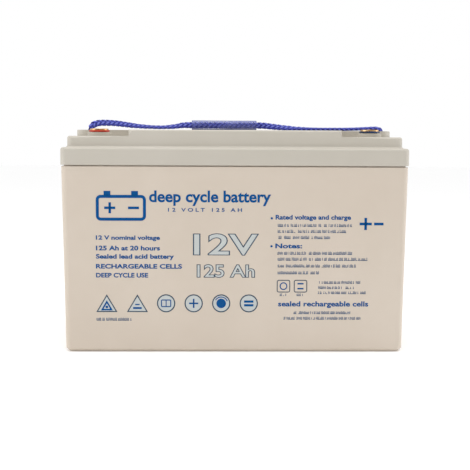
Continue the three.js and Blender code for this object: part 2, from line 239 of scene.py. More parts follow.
def braidYarn(name, deep, bright, rubbed):
    # filament yarn: fine lines along each carrier, with painted highlight (partly rubbed wear) on
    # the outer faces of yarns that cross over, and painted shade on inner faces, where yarns pass
    # under, and on the filling between them
    material, tree, shader = newMaterial(name)
    uv = placeIn(tree, "UV")
    filaments = noiseOf(tree, uv, 1, 3, 0.6, (34, 3, 1))
    slubs = noiseOf(tree, uv, 1, 3, 0.6, (5, 9, 1))
    tone, paintedLight = (
        addNode(tree, "ShaderNodeAttribute", attribute_name=layer).outputs["Fac"]
        for layer in ("yarnTone", "yarnPaintedLight")
    )
    body = ramp(tree, filaments, [(0.34, deep), (0.66, bright)])
    # painted highlight, partly rubbed wear: the outer faces of yarns that cross over are lightened
    # towards the third colour
    raised = mixed(tree, ranged(tree, paintedLight, 0, 0.6, 0.45, 1), body, rubbed)
    # painted shade: inner faces, yarns passing under and the filling are darkened towards the deep
    # colour
    paintedShade = mixed(tree, ranged(tree, paintedLight, 0.75, 0, 0, 0.5), raised, deep)
    shifted = mixed(tree, ranged(tree, tone, 0, 0.25, 0, 1), paintedShade, bright)
    plug(shader, {
        "Base Color": mixed(tree, ranged(tree, slubs, 0, 0.3), shifted, deep),
        "Roughness": ranged(tree, filaments, 0.38, 0.6),
        "Sheen Weight": 0.08,
        "Sheen Roughness": 0.4,
        "Sheen Tint": ink(150, 155, 235),
    })
    bumped(tree, shader, filaments, 0.0001, 0.8)
    return material


def clearTube(name, wallColour, faceOnPaintedLight):
    # soft vinyl: seen through face on with milky patches, darker where it is seen edge on; face on
    # it takes a bright bluish colour, painted light that stands in for the blue rope seen through
    # it, which the tube's alpha shadows darken
    material, tree, shader = newMaterial(name)
    place = placeIn(tree, "Object")
    haze = noiseOf(tree, place, 90, 4, 0.6, (0.4, 1, 1))
    scratch = noiseOf(tree, place, 500, 3, 0.6, (0.2, 1, 1))
    edge = addNode(tree, "ShaderNodeLayerWeight", {"Blend": 0.5}).outputs["Facing"]
    rim = maths(tree, "POWER", edge, 2)
    milk = ranged(tree, haze, 0.02, 0.26, 0.4, 0.7)
    plug(shader, {
        # painted light: face on, the tube takes the bright bluish colour
        "Base Color": mixed(tree, rim, faceOnPaintedLight, wallColour),
        "Alpha": maths(tree, "MULTIPLY_ADD", rim, 1.6, milk, use_clamp=True),
        "Roughness": ranged(tree, scratch, 0.08, 0.2),
    })
    bumped(tree, shader, haze, 0.0002, 0.4)
    return material


def turnedMetal(name, light, dark, roughness):
    # lathe-turned: fine rings that follow the cut, dull spots and rubbed highs
    material, tree, shader = newMaterial(name)
    rings = noiseOf(tree, placeIn(tree, "UV"), 1, 2, 0.7, (0.6, 5200, 1))
    spots = noiseOf(tree, placeIn(tree, "Object"), 380, 5, 0.65)
    plug(shader, {
        "Base Color": ramp(tree, spots, [(0.35, dark), (0.66, light)]),
        "Roughness": ranged(tree, spots, roughness + 0.16, roughness),
        "Metallic": 1,
    })
    bumped(tree, shader, rings, 0.00003, 0.6)
    return material


def satinPlastic(name, light, dark):
    material, tree, shader = newMaterial(name)
    place = placeIn(tree, "Object")
    clouds = noiseOf(tree, place, 150, 4, 0.6)
    scuffs = noiseOf(tree, place, 1400, 3, 0.7)
    plug(shader, {
        "Base Color": ramp(tree, clouds, [(0.3, dark), (0.7, light)]),
        "Roughness": ranged(tree, scuffs, 0.28, 0.5),
    })
    bumped(tree, shader, scuffs, 0.00003, 0.6)
    return material


def roughCast(name, light, dark, roughness, metallic, scale, depth):
    # coarse mottling with a finer grain over it, both raised
    material, tree, shader = newMaterial(name)
    place = placeIn(tree, "Object")
    coarse = noiseOf(tree, place, scale, 6, 0.65)
    fine = noiseOf(tree, place, scale * 9, 3, 0.6)
    body = ramp(tree, coarse, [(0.3, dark), (0.7, light)])
    plug(shader, {
        "Base Color": mixed(tree, ranged(tree, fine, 0, 0.4), body, dark),
        "Roughness": ranged(tree, coarse, roughness - 0.1, roughness + 0.1),
        "Metallic": metallic,
    })
    lumps = bumped(tree, shader, coarse, depth, 0.8)
    bumped(tree, shader, fine, depth * 0.4, 0.8, lumps)
    return material


def fibreMat(name, light, dark):
    # blown glass fibre: long crossed streaks over a felted ground
    material, tree, shader = newMaterial(name)
    place = placeIn(tree, "Object")
    upright = noiseOf(tree, place, 420, 4, 0.7, (1, 1, 0.12))
    across = noiseOf(tree, place, 420, 4, 0.7, (1, 0.12, 1))
    felt = mixed(tree, 0.5, upright, across)
    body = ramp(tree, felt, [(0.3, dark), (0.65, light)])
    plug(shader, {"Base Color": body, "Roughness": 0.95})
    bumped(tree, shader, felt, 0.0002, 0.8)
    return material


def pastedPlate(name, light, dark, grid):
    # cast grid that shows through the paste as a raised lattice
    material, tree, shader = newMaterial(name)
    place = placeIn(tree, "Object")
    quarter = math.radians(90)
    upright = addNode(
        tree, "ShaderNodeMapping", {"Vector": place, "Rotation": (quarter, 0, quarter)}
    )
    lattice = addNode(tree, "ShaderNodeTexBrick", {
        "Vector": upright.outputs["Vector"], "Scale": 1, "Brick Width": 0.011,
        "Row Height": 0.006, "Mortar Size": 0.0006, "Mortar Smooth": 0.4,
        "Color1": light, "Color2": dark, "Mortar": grid,
    }, offset=0, squash=1)
    grit = noiseOf(tree, place, 900, 5, 0.7)
    paste = mixed(tree, ranged(tree, grit, 0, 0.5), lattice.outputs["Color"], dark)
    plug(shader, {"Base Color": paste, "Roughness": ranged(tree, grit, 0.75, 0.95)})
    bars = bumped(tree, shader, lattice.outputs["Fac"], 0.0003, 0.7)
    bumped(tree, shader, grit, 0.0001, 0.8, bars)
    return material


finishes = {
    "case": mouldedPlastic("casePlastic", ink(212, 200, 186), ink(206, 193, 178), 0.5),
    "lid": mouldedPlastic("lidPlastic", ink(197, 191, 180), ink(191, 185, 173), 0.46),
    "print": screenInk("printBlue", ink(0, 76, 138), ink(0, 94, 154)),
    "finePrint": screenInk("finePrintBlue", ink(0, 74, 120), ink(30, 104, 144)),
    "linePrint": screenInk("printSteel", ink(52, 72, 92), ink(92, 108, 122)),
    "palePrint": screenInk("printPale", ink(195, 200, 199), ink(188, 190, 187)),
    # rope: the last colour is the painted highlight on yarns that cross over, partly rubbed wear
    "rope": braidYarn("ropeYarn", ink(14, 18, 104), ink(46, 60, 206), ink(148, 162, 252)),
    # grip: the bluish colour is painted light for the blue rope seen through the milky tube
    "grip": clearTube("clearVinyl", ink(84, 86, 96), ink(138, 146, 214)),
    "terminal": turnedMetal("terminalBrass", ink(240, 214, 164), ink(186, 132, 72), 0.16),
    "positiveRing": satinPlastic("redRing", ink(214, 60, 26), ink(176, 36, 16)),
    "negativeRing": satinPlastic("blueRing", ink(26, 58, 104), ink(12, 30, 60)),
    "rubber": roughCast(
        "valveRubber", ink(48, 48, 50), ink(26, 26, 28),
        roughness=0.8, metallic=0, scale=300, depth=0.00004,
    ),
    "lead": roughCast(
        "castLead", ink(148, 150, 154), ink(104, 106, 110),
        roughness=0.45, metallic=0.85, scale=240, depth=0.0001,
    ),
    "positivePaste": pastedPlate(
        "leadDioxidePaste", ink(84, 54, 42), ink(58, 34, 26), ink(120, 116, 114)
    ),
    "negativePaste": pastedPlate(
        "spongeLeadPaste", ink(140, 142, 146), ink(108, 110, 114), ink(160, 162, 166)
    ),
    "mat": fibreMat("glassMat", ink(240, 240, 236), ink(206, 206, 200)),
}
print("materials made:", len(finishes))


lidTop = 0.212

rope = {
    "carriers": 4,  # in each direction
    "halfWidth": 0.00268,  # of the line that the yarns weave about
    "halfThick": 0.00098,
    "yarnHalfWidth": 0.00128,
    "yarnHalfThick": 0.00046,
    "weave": 0.00034,
    "pitch": 0.0208,  # for one turn round the rope
    "slack": 0.00004,  # how far a yarn strays in or out
    "slackRate": 410,  # and how quickly, in radians a metre
    "core": 0.86,  # the filling's share of that line
    "curve": 24,  # points from one row of the route to the next
    "step": 0.0006,  # between the points that the yarns are drawn through
    "sides": 8,
    "mapUnit": 0.01,  # length of yarn that one unit of its map covers
    "seed": 7,
}

# x, y, height above the lid in mm, and the turn of the flat side in degrees
ropeRoute = [
    (-148, 0, -8, 84),
    (-147, 0, -3.4, 80),
    (-146, 0, 0.2, 78),
    (-145.6, 1, 2.4, 76),
    (-143.9, 2.6, 5, 70),
    (-139.4, 5.2, 6.9, 66),
    (-131.7, 9.8, 7.4, 64),
    (-120.8, 17.2, 6.9, 60),
    (-109.5, 24.6, 5.5, 50),
    (-98.5, 31, 4.3, 32),
    (-86, 36.8, 3.6, 20),
    (-74.5, 40.6, 3.5, 18),
    (-62.5, 43.2, 4.4, 34),
    (-53, 44, 5.8, 58),
    (-44, 44, 5.9, 76),
    (-30, 44, 5.9, 90),
    (-9.5, 44, 5.9, 90),
    (10, 44, 5.9, 90),
    (26, 44, 5.9, 88),
    (34, 44, 5.6, 76),
    (43.5, 43, 4.6, 60),
    (54.5, 40.6, 3.6, 44),
    (68, 36.4, 2.8, 20),
    (86.5, 29.6, 2.2, 4),
    (104, 22.4, 2.1, 0),
    (116, 16.6, 2.1, 6),
    (128.5, 10.8, 2.4, 10),
    (139.5, 5.4, 2.9, 14),
    (146.4, 2, 3.1, 12),
    (149.9, 0.5, 2.1, 12),
    (151, 0, 0.2, 12),
    (150.6, 0, -3.4, 14),
    (148.6, 0, -8, 16),
]


def centripetal(points, share):
    # one curve through all the points, its place and its row number at each step
    rows = [Vector(p[:3]) for p in points]
    line = []
    for i in range(len(rows) - 1):
        b, c = rows[i], rows[i + 1]
        a = rows[i - 1] if i else b * 2 - c
        d = rows[i + 2] if i + 2 < len(rows) else c * 2 - b
        ab, bc, cd = ((q - p).length ** 0.5 for p, q in ((a, b), (b, c), (c, d)))
        outgoing = ((b - a) / ab - (c - a) / (ab + bc) + (c - b) / bc) * bc
        incoming = ((c - b) / bc - (d - b) / (bc + cd) + (d - c) / cd) * bc
        for k in range(share):
            t = k / share
            place = (
                b * (2 * t**3 - 3 * t**2 + 1)
                + outgoing * (t**3 - 2 * t**2 + t)
                + c * (3 * t**2 - 2 * t**3)
                + incoming * (t**3 - t**2)
            )
            line.append((place, i + t))
    line.append((rows[-1], len(rows) - 1.0))
    return line


def evenly(line, step):
    # the same line with a point every step along it
    result = [line[0]]
    walked, wanted = 0.0, step
    for (p, a), (q, b) in zip(line, line[1:]):
        length = (q - p).length
        while walked + length >= wanted:
            t = (wanted - walked) / length
            result.append((p.lerp(q, t), a + (b - a) * t))
            wanted += step
        walked += length
    return result


def ellipsePlaces(halfWidth, halfThick, count=720):
    # angles that are evenly spaced along the rim of an ellipse
    rim = [0.0]
    for i in range(count):
        t = 2 * math.pi * (i + 0.5) / count
        rim.append(rim[-1] + math.hypot(halfWidth * math.sin(t), halfThick * math.cos(t)))
    whole = rim[-1]

    def angleAt(turns):
        wanted = (turns % 1.0) * whole
        low, high = 0, count
        while high - low > 1:
            middle = (low + high) // 2
            low, high = (middle, high) if rim[middle] <= wanted else (low, middle)
        part = (wanted - rim[low]) / (rim[low + 1] - rim[low])
        return 2 * math.pi * (low + part) / count

    return angleAt


def alongAt(places, i):
    # from the point before to the point after
    return places[min(i + 1, len(places) - 1)] - places[max(i - 1, 0)]


def ropeFrames(places, turns):
    # at each place: along the rope, along its width and along its thickness
    result = []
    up = Vector((0, 0, 1))
    for i, turn in enumerate(turns):
        along = alongAt(places, i).normalized()
        level = up.cross(along)
        if level.length < 0.25:  # where the rope stands upright its width keeps to the side
            level = Vector((0.2, 1, 0)).cross(along) if not result else result[-1][1]
        level = (level - along * level.dot(along)).normalized()
        width = Matrix.Rotation(turn, 3, along) @ level
        result.append((along, width, along.cross(width)))
    return result


def braid(name, places, frames, r):
    # two sets of flat yarns that wind opposite ways and pass over and under each other in twos
    dice = random.Random(r["seed"])
    bm = bmesh.new()
    uvLayer = bm.loops.layers.uv.new("yarn")
    toneLayer = bm.verts.layers.float.new("yarnTone")
    paintedLightLayer = bm.verts.layers.float.new("yarnPaintedLight")
    angleAt = ellipsePlaces(r["halfWidth"], r["halfThick"])
    yarns = [(k, way) for way in (1, -1) for k in range(r["carriers"])]

    def sweep(centres, outwards, halfWidth, halfThick, tone, paintedLight):
        rings = []
        for i, (centre, outward) in enumerate(zip(centres, outwards)):
            along = alongAt(centres, i)
            across = along.cross(outward).normalized()
            out = across.cross(along).normalized()
            ring = []
            for s in range(r["sides"]):
                t = 2 * math.pi * s / r["sides"]
                place = centre + across * halfWidth * math.cos(t) + out * halfThick * math.sin(t)
                vert = bm.verts.new(place)
                vert[toneLayer] = tone
                # painted light: the outer half of each yarn ring takes the crossing's value and
                # the inner half none; the yarn material paints highlight from high values and
                # shade from low ones
                vert[paintedLightLayer] = paintedLight[i] * max(0, math.sin(t))
                ring.append(vert)
            rings.append(ring)
        for i in range(len(rings) - 1):
            for s in range(r["sides"]):
                n = (s + 1) % r["sides"]
                face = bm.faces.new((rings[i][s], rings[i][n], rings[i + 1][n], rings[i + 1][s]))
                face.smooth = True
                corners = ((s, i), (s + 1, i), (s + 1, i + 1), (s, i + 1))
                for loop, (around, down) in zip(face.loops, corners):
                    loop[uvLayer].uv = (around / r["sides"], down * r["step"] / r["mapUnit"])
        bm.faces.new(list(reversed(rings[0])))
        bm.faces.new(rings[-1])

    for k, way in yarns:
        centres, outwards, paintedLight = [], [], []
        tone = dice.random()
        wobble = dice.random() * 6.28
        for i, (place, (along, width, thick)) in enumerate(zip(places, frames)):
            s = i * r["step"]
            turns = way * s / r["pitch"] + k / r["carriers"]
            t = angleAt(turns)
            out = (
                width * math.cos(t) / r["halfWidth"] + thick * math.sin(t) / r["halfThick"]
            ).normalized()
            crossing = 2 * k + way * 2 * r["carriers"] * s / r["pitch"]
            over = way * math.cos(math.pi / 2 * (crossing - 0.5))
            lift = r["weave"] * over + r["slack"] * math.sin(s * r["slackRate"] + wobble)
            centres.append(
                place
                + width * r["halfWidth"] * math.cos(t)
                + thick * r["halfThick"] * math.sin(t)
                + out * lift
            )
            outwards.append(out)
            # high where the yarn crosses over, low where it passes under: it becomes painted
            # highlight and painted shade
            paintedLight.append(0.5 + 0.5 * over)
        sweep(centres, outwards, r["yarnHalfWidth"], r["yarnHalfThick"], tone, paintedLight)
    flats = [thick for _, _, thick in frames]
    filling = (r["halfWidth"] * r["core"], r["halfThick"] * r["core"])
    # the filling gets no value, so the yarn material paints it in shade
    sweep(places, flats, *filling, tone=0, paintedLight=[0] * len(places))
    bmesh.ops.recalc_face_normals(bm, faces=bm.faces)
    return fromBmesh(name, bm)


def makeRope():
    line = centripetal(ropeRoute, rope["curve"])
    line = [(Vector((p.x * mm, p.y * mm, lidTop + p.z * mm)), row) for p, row in line]
    line = evenly(line, rope["step"])
    places = [p for p, _ in line]
    turns = []
    for _, row in line:
        low = min(int(row), len(ropeRoute) - 2)
        a, b = ropeRoute[low][3], ropeRoute[low + 1][3]
        t = row - low
        turns.append(math.radians(a + (b - a) * (t * t * (3 - 2 * t))))
    frames = ropeFrames(places, turns)
    return braid("ropeHandle", places, frames, rope), places


ropeHandle, ropePlaces = makeRope()

grip = {
    "x": -0.0095,
    "y": 0.044,
    "z": lidTop + 0.006,
    "length": 0.069,
    "outside": 0.005,
    "bore": 0.0044,
    "edge": 0.0002,  # cut off the outer rims
    "lip": 0.0001,  # cut off the inner rims
    "oval": 0.012,  # share of the radius
    "dents": 0.006,
    "around": 56,
    "along": 40,
}


def makeGrip(g):
    # a length of soft tube, very slightly out of round, with cut ends that are a little lipped
    half, bore, outside = g["length"] / 2, g["bore"], g["outside"]
    stations = [-half + g["length"] * i / g["along"] for i in range(1, g["along"])]
    profile = [(-half + g["lip"], bore), (-half, bore + g["lip"])]
    profile += [(-half, outside - g["edge"]), (-half + g["edge"], outside)]
    profile += [(x, outside) for x in stations]
    profile += [(half - g["edge"], outside), (half, outside - g["edge"])]
    profile += [(half, bore + g["lip"]), (half - g["lip"], bore)]
    profile += [(x, bore) for x in reversed(stations)]
    bm = bmesh.new()
    rings = []
    for x, radius in profile:
        ring = []
        for s in range(g["around"]):
            t = 2 * math.pi * s / g["around"]
            wave = g["oval"] * math.sin(2 * t + x * 60) + g["dents"] * math.sin(3 * t - x * 110)
            reach = radius * (1 + wave)
            y, z = reach * math.cos(t), reach * math.sin(t)
            ring.append(bm.verts.new((g["x"] + x, g["y"] + y, g["z"] + z)))
        rings.append(ring)
    for a, b in zip(rings, rings[1:] + rings[:1]):
        for s in range(g["around"]):
            n = (s + 1) % g["around"]
            bm.faces.new((a[s], b[s], b[n], a[n]))
    bmesh.ops.recalc_face_normals(bm, faces=bm.faces)
    return smoothed(fromBmesh("gripSleeve", bm), 60)


finished(makeGrip(grip), "handle_grip", finishes["grip"], ["grip"])

knot = {
    "x": 0.148,
    "z": 0.2014,
    "scale": 0.00155,
    "rise": 0.0031,
    "points": 150,
    "start": 0.02,  # in turns, so that the two ends stay apart
    "share": 0.94,
    "braid": {  # pulled tighter than the free rope
        "halfWidth": 0.00145,
        "halfThick": 0.0011,
        "weave": 0.0003,
        "yarnHalfWidth": 0.0008,
        "yarnHalfThick": 0.00034,
        "pitch": 0.014,
    },
}


def makeKnot(name, side, k):
    # the rope tied on itself: its tail winds round in three lobes
    places = []
    for i in range(k["points"] + 1):
        t = 2 * math.pi * (k["start"] + k["share"] * i / k["points"])
        x = k["x"] + k["scale"] * (math.sin(t) + 2 * math.sin(2 * t))
        y = k["scale"] * (math.cos(t) - 2 * math.cos(2 * t))
        places.append((Vector((side * x, y, k["z"] - k["rise"] * math.sin(3 * t))), 0))
    tight = {**rope, **k["braid"]}
    even = [p for p, _ in evenly(places, tight["step"])]
    frames = []
    for i, place in enumerate(even):
        along = alongAt(even, i).normalized()
        outward = place - Vector((side * k["x"], 0, k["z"]))
        outward = (outward - along * outward.dot(along)).normalized()
        frames.append((along, outward.cross(along), outward))
    return braid(name, even, frames, tight)


for side, name in ((-1, "left"), (1, "right")):
    finished(
        makeKnot(name + "Knot", side, knot),
        "battery", finishes["rope"], [name + "_knot"],
    )

ropeHandle.data.materials.append(finishes["rope"])
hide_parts("rope")
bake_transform(ropeHandle)
print("grip and knots made")


shell = {
    "weld": 0.000002,  # corners nearer than this become one
    "flatWithin": math.radians(0.4),  # faces nearer to level than this become one
    "bevel": 0.0003,
    "segments": 2,
    "angle": math.radians(40),
    "smoothTo": 42,  # degrees
    "easeSegments": 5,
}

pocket = {
    "floor": 0.2059,
    "back": -0.0205,
    "front": -0.077,
    "side": 0.101,
    "ease": 0.0022,  # radius along the front of a terminal pocket
    "cornerEase": 0.003,  # and down the corner where the pocket starts
}


def sharpEdges(bm, wanted):
    # the sharp edges whose middle and direction suit
    found = []
    for edge in bm.edges:
        if len(edge.link_faces) == 2 and edge.calc_face_angle_signed(0) > shell["angle"]:
            a, b = (v.co for v in edge.verts)
            if wanted((a + b) / 2, (b - a).normalized()):
                found.append(edge)
    return found


def cleanCopy(nodeName, pieceName, eases):
    # a welded copy of a CAD part, its flat faces joined and its sharp edges broken
    bm = bmesh.new()
    bm.from_mesh(cadNodes[nodeName].data)
    bmesh.ops.remove_doubles(bm, verts=bm.verts, dist=shell["weld"])
    bmesh.ops.dissolve_limit(
        bm, angle_limit=shell["flatWithin"], verts=bm.verts, edges=bm.edges,
    )
    bmesh.ops.recalc_face_normals(bm, faces=bm.faces)
    for wanted, radius in eases:  # larger radii than the rest of the edges get
        bmesh.ops.bevel(
            bm, geom=sharpEdges(bm, wanted), offset=radius, offset_type="OFFSET",
            segments=shell["easeSegments"], profile=0.5, affect="EDGES", clamp_overlap=False,
        )
    piece = fromBmesh(pieceName, bm)
    mod = piece.modifiers.new("edges", "BEVEL")
    mod.width = shell["bevel"]
    mod.segments = shell["segments"]
    mod.limit_method = "ANGLE"
    mod.angle_limit = shell["angle"]
    mod.use_clamp_overlap = True
    smoothed(applied(piece), shell["smoothTo"])
    even = piece.modifiers.new("evenFaces", "WEIGHTED_NORMAL")  # keeps the broad faces flat
    even.keep_sharp = True
    return applied(piece)


def pocketRim(middle, way):
    # the long edges between the lid's upright outer faces and the pockets' floors
    low = abs(middle.z - pocket["floor"]) < 0.3 * mm
    return low and middle.y < pocket["back"] and abs(middle.x) > pocket["side"]


def pocketCorner(middle, way):
    # the upright edge at the front where a pocket begins
    beside = abs(abs(middle.x) - pocket["side"]) < mm
    return beside and middle.y < pocket["front"] and abs(way.z) > 0.9


lidEases = [(pocketCorner, pocket["cornerEase"]), (pocketRim, pocket["ease"])]
for node, name, finish, slotName, eases in (
    ("container", "caseShell", "case", "container_plastic", ()),
    ("lid", "lidShell", "lid", "lid_plastic", lidEases),
    ("top_cover", "coverPlate", "lid", "lid_plastic", ()),
):
    finished(cleanCopy(node, name, eases), "battery", finishes[finish], [node])
print("container, lid and cover made")


def lathe(name, profile, centre, around=64):
    # turns (radius, height) points about an upright axis, with a map that runs round and along
    bm = bmesh.new()
    uvLayer = bm.loops.layers.uv.new("turn")
    run = [0.0]
    for (r0, z0), (r1, z1) in zip(profile, profile[1:]):
        run.append(run[-1] + math.hypot(r1 - r0, z1 - z0))
    rings = []
    for radius, z in profile:
        if radius < 1e-6:
            rings.append([bm.verts.new((centre[0], centre[1], z))])
            continue
        ring = []
        for s in range(around):
            t = 2 * math.pi * s / around
            x, y = centre[0] + radius * math.cos(t), centre[1] + radius * math.sin(t)
            ring.append(bm.verts.new((x, y, z)))
        rings.append(ring)
    for i, (a, b) in enumerate(zip(rings, rings[1:])):
        for s in range(around):
            n = (s + 1) % around
            if len(a) == 1 and len(b) == 1:
                continue
            if len(a) == 1:
                corners = [(a[0], s, i), (b[n], s + 1, i + 1), (b[s], s, i + 1)]
            elif len(b) == 1:
                corners = [(a[s], s, i), (a[n], s + 1, i), (b[0], s, i + 1)]
            else:
                corners = [
                    (a[s], s, i), (a[n], s + 1, i), (b[n], s + 1, i + 1), (b[s], s, i + 1),
                ]
            face = bm.faces.new([c[0] for c in corners])
            for loop, (_, along, row) in zip(face.loops, corners):
                loop[uvLayer].uv = (along / around, run[row])
    bmesh.ops.remove_doubles(bm, verts=bm.verts, dist=1e-7)
    bmesh.ops.recalc_face_normals(bm, faces=bm.faces)
    return smoothed(fromBmesh(name, bm), 32)


def rounded(points, radius, steps=4):
    # the same profile with its inner corners eased
    out = [points[0]]
    for before, at, after in zip(points, points[1:], points[2:]):
        a, p, b = Vector(before), Vector(at), Vector(after)
        cut = min(radius, (a - p).length * 0.45, (b - p).length * 0.45)
        start, end = p + (a - p).normalized() * cut, p + (b - p).normalized() * cut
        for i in range(steps + 1):
            t = i / steps
            out.append(tuple(start * (1 - t) ** 2 + p * 2 * t * (1 - t) + end * t * t))
    out.append(points[-1])
    return out


terminal = {
    "x": 0.1316,
    "y": -0.050,
    "top": 0.213,
    "underHead": 0.2098,
    "headRadius": 0.0089,
    "stemRadius": 0.0069,
    "stemBottom": 0.195,
    "boreRadius": 0.0041,
    "boreBottom": 0.199,
    "drillPoint": 0.0015,
    "chamfer": 0.0006,  # at the mouth of the bore
    "ringRadius": 0.0100,
    "ringTop": 0.2115,
    "ringGap": 0.0003,
    "threadPitch": 0.00125,
    "threadDepth": 0.0006,
    "threadStart": 0.0012,  # below the top
}


def makeInsert(name, x, t):
    profile = [
        (0, t["stemBottom"]),
        (t["stemRadius"], t["stemBottom"]),
        (t["stemRadius"], t["underHead"]),
        (t["headRadius"], t["underHead"]),
        (t["headRadius"], t["top"]),
        (t["boreRadius"] + t["chamfer"], t["top"]),
        (t["boreRadius"], t["top"] - t["chamfer"]),
        (t["boreRadius"], t["boreBottom"]),
        (0, t["boreBottom"] - t["drillPoint"]),
    ]
    return lathe(name, rounded(profile, 0.0005), (x, t["y"]))


def makeRing(name, x, t):
    inside = t["headRadius"] + t["ringGap"]
    seam = (inside, t["underHead"] + 0.0006)  # where the profile closes on itself
    profile = [
        seam,
        (inside, t["underHead"]),
        (t["ringRadius"], t["underHead"]),
        (t["ringRadius"], t["ringTop"]),
        (inside, t["ringTop"]),
        seam,
    ]
    return lathe(name, rounded(profile, 0.0004), (x, t["y"]))


def groupTree(name, numbers, wholeNumbers=()):
    # a node group that is given named numbers and a finish
    tree = bpy.data.node_groups.new(name, "GeometryNodeTree")
    kinds = {"Geometry": "Geometry", **dict.fromkeys(numbers, "Float")}
    kinds |= {**dict.fromkeys(wholeNumbers, "Int"), "Finish": "Material"}
    for label, kind in kinds.items():
        tree.interface.new_socket(label, in_out="INPUT", socket_type="NodeSocket" + kind)
    tree.interface.new_socket("Geometry", in_out="OUTPUT", socket_type="NodeSocketGeometry")
    return tree, addNode(tree, "NodeGroupInput").outputs


def handOut(tree, geometry, finish):
    # the end of a node group: real mesh, with its finish
    real = addNode(tree, "GeometryNodeRealizeInstances", {"Geometry": geometry})
    paint = addNode(
        tree, "GeometryNodeSetMaterial",
        {"Geometry": real.outputs["Geometry"], "Material": finish},
    )
    addNode(tree, "NodeGroupOutput", {"Geometry": paint.outputs["Geometry"]})
    return tree


def threadTree():
    # a helical ridge: a spiral swept with a small four-sided bar
    tree, given = groupTree("threadRidge", ("Radius", "Height", "Turns", "Ridge"))
    spiral = addNode(tree, "GeometryNodeCurveSpiral", {
        "Resolution": 40, "Start Radius": given["Radius"], "End Radius": given["Radius"],
        "Height": given["Height"], "Rotations": given["Turns"],
    })
    ridge = addNode(
        tree, "GeometryNodeCurvePrimitiveCircle", {"Resolution": 4, "Radius": given["Ridge"]}
    )
    sweep = addNode(tree, "GeometryNodeCurveToMesh", {
        "Curve": spiral.outputs["Curve"], "Profile Curve": ridge.outputs["Curve"],
        "Fill Caps": True,
    })
    return handOut(tree, sweep.outputs["Mesh"], given["Finish"])


def setInputs(mod, tree, values):
    for item in tree.interface.items_tree:
        if item.in_out == "INPUT" and item.name in values:
            mod[item.identifier] = values[item.name]


def makeThread(name, x, t, tree):
    turns = (t["top"] - t["threadStart"] - t["boreBottom"]) / t["threadPitch"]
    piece = toObject(name, bpy.data.meshes.new(name))
    mod = piece.modifiers.new("thread", "NODES")
    mod.node_group = tree
    setInputs(mod, tree, {
        "Radius": t["boreRadius"],
        "Height": turns * t["threadPitch"],
        "Turns": turns,
        "Ridge": t["threadDepth"],
        "Finish": finishes["terminal"],
    })
    applied(piece)
    piece.data.transform(Matrix.Translation((x, t["y"], t["boreBottom"])))
    return piece


ridges = threadTree()
for pole, side in (("positive", -1), ("negative", 1)):
    x = side * terminal["x"]
    finished(
        makeInsert(pole + "Insert", x, terminal), "battery", finishes["terminal"],
        [pole + "_insert"],
    )
    finished(
        makeThread(pole + "Thread", x, terminal, ridges), "battery", finishes["terminal"],
    )
    finished(
        makeRing(pole + "Ring", x, terminal), "battery", finishes[pole + "Ring"],
        [pole + "_ring"],
    )
print("terminals made")


# the print on the front wall: plain shapes, plain words and rows of strokes for small type
wall = {
    "top": 0.1774,
    "half": 0.0849,
    "draft": math.radians(0.78),
    "lift": 0.00005,
    "film": 0.00006,
}


def ontoWall(mesh):
    # lays a flat drawing (x, height, outwards) on the leaning front wall
    for vert in mesh.vertices:
        x, z, out = vert.co
        front = -wall["half"] + (wall["top"] - z) * math.tan(wall["draft"])
        vert.co = (x, front - wall["lift"] - out, z)
    mesh.update()
    return mesh


def gather(name, meshes):
    bm = bmesh.new()
    for mesh in meshes:
        bm.from_mesh(mesh)
        bpy.data.meshes.remove(mesh)
    return fromBmesh(name, bm)


def letters(words, left, low, width, high, weight, outline=0):
    # words fitted into a box in mm, filled or drawn as an outline
    data = bpy.data.curves.new("words", "FONT")
    data.body = words
    data.offset = weight
    data.resolution_u = 4
    if outline:
        data.fill_mode = "NONE"
        data.bevel_depth = outline
        data.bevel_resolution = 1
    else:
        data.extrude = 0.5
    carrier = toObject("words", data)
    graph = bpy.context.evaluated_depsgraph_get()
    mesh = bpy.data.meshes.new_from_object(carrier.evaluated_get(graph))
    bpy.data.objects.remove(carrier)
    bpy.data.curves.remove(data)
    xs = [v.co.x for v in mesh.vertices]
    ys = [v.co.y for v in mesh.vertices]
    deep = max(abs(v.co.z) for v in mesh.vertices)
    wide, tall = max(xs) - min(xs), max(ys) - min(ys)
    for v in mesh.vertices:
        v.co = (
            (left + (v.co.x - min(xs)) / wide * width) * mm,
            (low + (v.co.y - min(ys)) / tall * high) * mm,
            (v.co.z / deep + 1) / 2 * wall["film"],
        )
    return ontoWall(mesh)


def laid(bm):
    # a drawing made in a flat bmesh, as a mesh on the wall
    bmesh.ops.recalc_face_normals(bm, faces=bm.faces)
    mesh = bpy.data.meshes.new("shape")
    bm.to_mesh(mesh)
    bm.free()
    return ontoWall(mesh)


def band(points, stroke, closed=True):
    # a flat line of even width through points in mm, with mitred corners
    bm = bmesh.new()
    count = len(points)
    rows = []
    for i, (x, y) in enumerate(points):
        here = Vector((x, y))
        ahead = Vector(points[(i + 1) % count]) - here
        behind = here - Vector(points[i - 1])
        if not closed and i == 0:
            behind = ahead
        if not closed and i == count - 1:
            ahead = behind
        a, b = ahead.normalized(), behind.normalized()
        normal = Vector((-a.y - b.y, a.x + b.x)).normalized()
        mitre = max(0.35, normal.dot(Vector((-a.y, a.x))))  # no corner runs out too far
        reach = stroke / 2 / mitre
        row = []
        for side, level in ((1, 0), (1, 1), (-1, 1), (-1, 0)):
            p = here + normal * reach * side
            row.append(bm.verts.new((p.x * mm, p.y * mm, level * wall["film"])))
        rows.append(row)
    for a, b in zip(rows, rows[1:] + rows[:closed]):
        for k in range(4):
            n = (k + 1) % 4
            bm.faces.new((a[k], a[n], b[n], b[k]))
    if not closed:
        bm.faces.new(rows[0])
        bm.faces.new(list(reversed(rows[-1])))
    return laid(bm)


